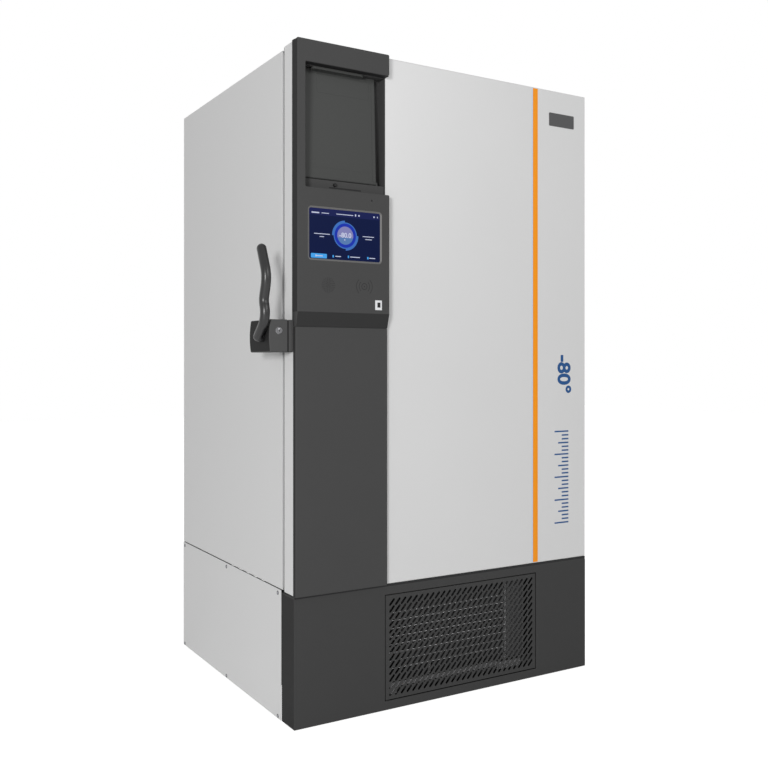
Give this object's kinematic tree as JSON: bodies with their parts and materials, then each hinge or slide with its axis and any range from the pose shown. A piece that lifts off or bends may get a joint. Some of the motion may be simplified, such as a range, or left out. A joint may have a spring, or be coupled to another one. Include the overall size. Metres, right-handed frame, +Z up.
{
  "type": "ultra low temperature freezer",
  "caption": "Upright ultra low temperature freezer with outer and inner doors, lever latch, touch screen column, lift-out shelves and a grilled machine base.",
  "frame": {"origin": "on the floor, under the centre of the whole object's box", "axes": "+Z up, the door faces -Y, +X to the viewer's right when facing the door"},
  "size_m": [1.246, 1.014, 1.98],
  "materials": {
    "white_sheet": "powder coat, fine texture",
    "foam": "rigid closed-cell foam",
    "stainless": "brushed",
    "dark_sheet": "dark powder coat",
    "dark_plastic": "satin moulded",
    "black_plastic": "matte moulded",
    "smoked_sheet": "glossy smoked",
    "screen_glass": "lit touch screen",
    "white_plastic": "satin",
    "seal_rubber": "soft, matte",
    "black_rubber": "matte",
    "copper": "drawn tube",
    "fins": "mill finish",
    "black_iron": "black enamel",
    "zinc": "zinc plated",
    "bare_aluminium": "anodised",
    "inner_door": "white skin on foam"
  },
  "bodies": {
    "cabinet": {"outer_shell": "white_sheet", "cabinet_insulation": "foam", "inner_liner": "stainless", "breaker_frame": "white_plastic", "evaporator_coil": "copper", "shelf_pilasters": "stainless", "shelf_upper": "stainless", "shelf_middle": "stainless", "shelf_lower": "stainless", "inner_door_mullion": "stainless", "base_frame": "dark_sheet", "front_fascia": "dark_sheet", "left_lower_panel": "white_sheet", "right_lower_panel": "white_sheet", "rear_lower_panel": "white_sheet", "panel_screws": "zinc", "condenser": "fins", "fan_shroud": "black_plastic", "fan_motor": "black_iron", "compressor_high_stage": "black_iron", "compressor_low_stage": "black_iron", "cascade_heat_exchanger": "foam", "refrigerant_lines": "copper", "electrical_box": "dark_sheet", "power_inlet": "black_plastic", "cabinet_hinge_leaves": "zinc", "levelling_feet": "zinc", "caster_forks_rear": "zinc", "latch_strike": "zinc", "access_port_sleeve": "white_plastic", "access_port_plug": "black_rubber", "rear_spacers": "black_rubber"},
    "outer_door": {"door_skin": "white_sheet", "door_insulation": "foam", "door_inner_panel": "white_plastic", "door_gasket": "seal_rubber", "side_strip": "dark_plastic", "control_housing": "dark_plastic", "recorder_tray": "dark_plastic", "display_screen": "screen_glass", "usb_port": "white_plastic", "latch_base": "dark_plastic", "latch_housing": "dark_plastic", "door_hinge_leaves": "zinc"},
    "recorder_cover": {"recorder_cover": "smoked_sheet"},
    "handle_lever": {"handle_lever": "dark_plastic"},
    "lock_core": {"lock_core": "zinc"},
    "inner_door_upper": {"inner_door_upper": "inner_door", "inner_gasket_upper": "seal_rubber"},
    "inner_door_lower": {"inner_door_lower": "inner_door", "inner_gasket_lower": "seal_rubber"},
    "grille_door": {"grille_door": "dark_sheet"},
    "fan_blade": {"fan_blade": "black_plastic"},
    "power_switch_rocker": {"power_switch_rocker": "black_plastic"},
    "caster_fork_front_left": {"caster_fork_front_left": "zinc"},
    "caster_fork_front_right": {"caster_fork_front_right": "zinc"},
    "caster_wheel_front_left": {"caster_wheel_front_left": "black_rubber"},
    "caster_wheel_front_right": {"caster_wheel_front_right": "black_rubber"},
    "caster_wheel_rear_left": {"caster_wheel_rear_left": "black_rubber"},
    "caster_wheel_rear_right": {"caster_wheel_rear_right": "black_rubber"}
  },
  "joints": [
    {"name": "outer_door_hinge", "type": "hinge", "parent": "cabinet", "child": "outer_door", "pos_m": [0.612, -0.4085, 1.181], "axis": [0, 0, 1], "range_deg": [0, 110]},
    {"name": "inner_door_upper_hinge", "type": "hinge", "parent": "cabinet", "child": "inner_door_upper", "pos_m": [0.501, -0.3625, 1.536], "axis": [0, 0, 1], "range_deg": [0, 100]},
    {"name": "inner_door_lower_hinge", "type": "hinge", "parent": "cabinet", "child": "inner_door_lower", "pos_m": [0.501, -0.3625, 0.836], "axis": [0, 0, 1], "range_deg": [0, 100]},
    {"name": "lever_pivot", "type": "hinge", "parent": "outer_door", "child": "handle_lever", "pos_m": [-0.609, -0.4345, 1.131], "axis": [1, 0, 0], "range_deg": [0, 75]},
    {"name": "lock_turn", "type": "hinge", "parent": "outer_door", "child": "lock_core", "pos_m": [-0.563, -0.4765, 1.148], "axis": [0, 1, 0], "range_deg": [0, 90]},
    {"name": "recorder_cover_hinge", "type": "hinge", "parent": "outer_door", "child": "recorder_cover", "pos_m": [-0.3655, -0.4705, 1.595], "axis": [1, 0, 0], "range_deg": [0, 80]},
    {"name": "grille_hinge", "type": "hinge", "parent": "cabinet", "child": "grille_door", "pos_m": [-0.206, -0.4725, 0.193], "axis": [0, 0, -1], "range_deg": [0, 90]},
    {"name": "fan_spin", "type": "hinge", "parent": "cabinet", "child": "fan_blade", "pos_m": [0.04498, -0.3025, 0.197], "axis": [0, 1, 0], "continuous": true},
    {"name": "power_switch", "type": "hinge", "parent": "cabinet", "child": "power_switch_rocker", "pos_m": [0.445, 0.4755, 0.3], "axis": [1, 0, 0], "range_deg": [0, 10]},
    {"name": "caster_swivel_left", "type": "hinge", "parent": "cabinet", "child": "caster_fork_front_left", "pos_m": [-0.437, -0.3305, 0.0997], "axis": [0, 0, 1], "continuous": true},
    {"name": "front_wheel_left", "type": "hinge", "parent": "caster_fork_front_left", "child": "caster_wheel_front_left", "pos_m": [-0.437, -0.3055, 0.039], "axis": [1, 0, 0], "continuous": true},
    {"name": "rear_wheel_left", "type": "hinge", "parent": "cabinet", "child": "caster_wheel_rear_left", "pos_m": [-0.437, 0.3265, 0.039], "axis": [1, 0, 0], "continuous": true},
    {"name": "caster_swivel_right", "type": "hinge", "parent": "cabinet", "child": "caster_fork_front_right", "pos_m": [0.515, -0.3305, 0.0997], "axis": [0, 0, 1], "continuous": true},
    {"name": "front_wheel_right", "type": "hinge", "parent": "caster_fork_front_right", "child": "caster_wheel_front_right", "pos_m": [0.515, -0.3055, 0.039], "axis": [1, 0, 0], "continuous": true},
    {"name": "rear_wheel_right", "type": "hinge", "parent": "cabinet", "child": "caster_wheel_rear_right", "pos_m": [0.515, 0.3265, 0.039], "axis": [1, 0, 0], "continuous": true}
  ],
  "couplings": [
    {"joint": "inner_door_upper_hinge", "follows": "outer_door_hinge", "ratio": 0.9},
    {"joint": "inner_door_lower_hinge", "follows": "outer_door_hinge", "ratio": 0.9}
  ]
}
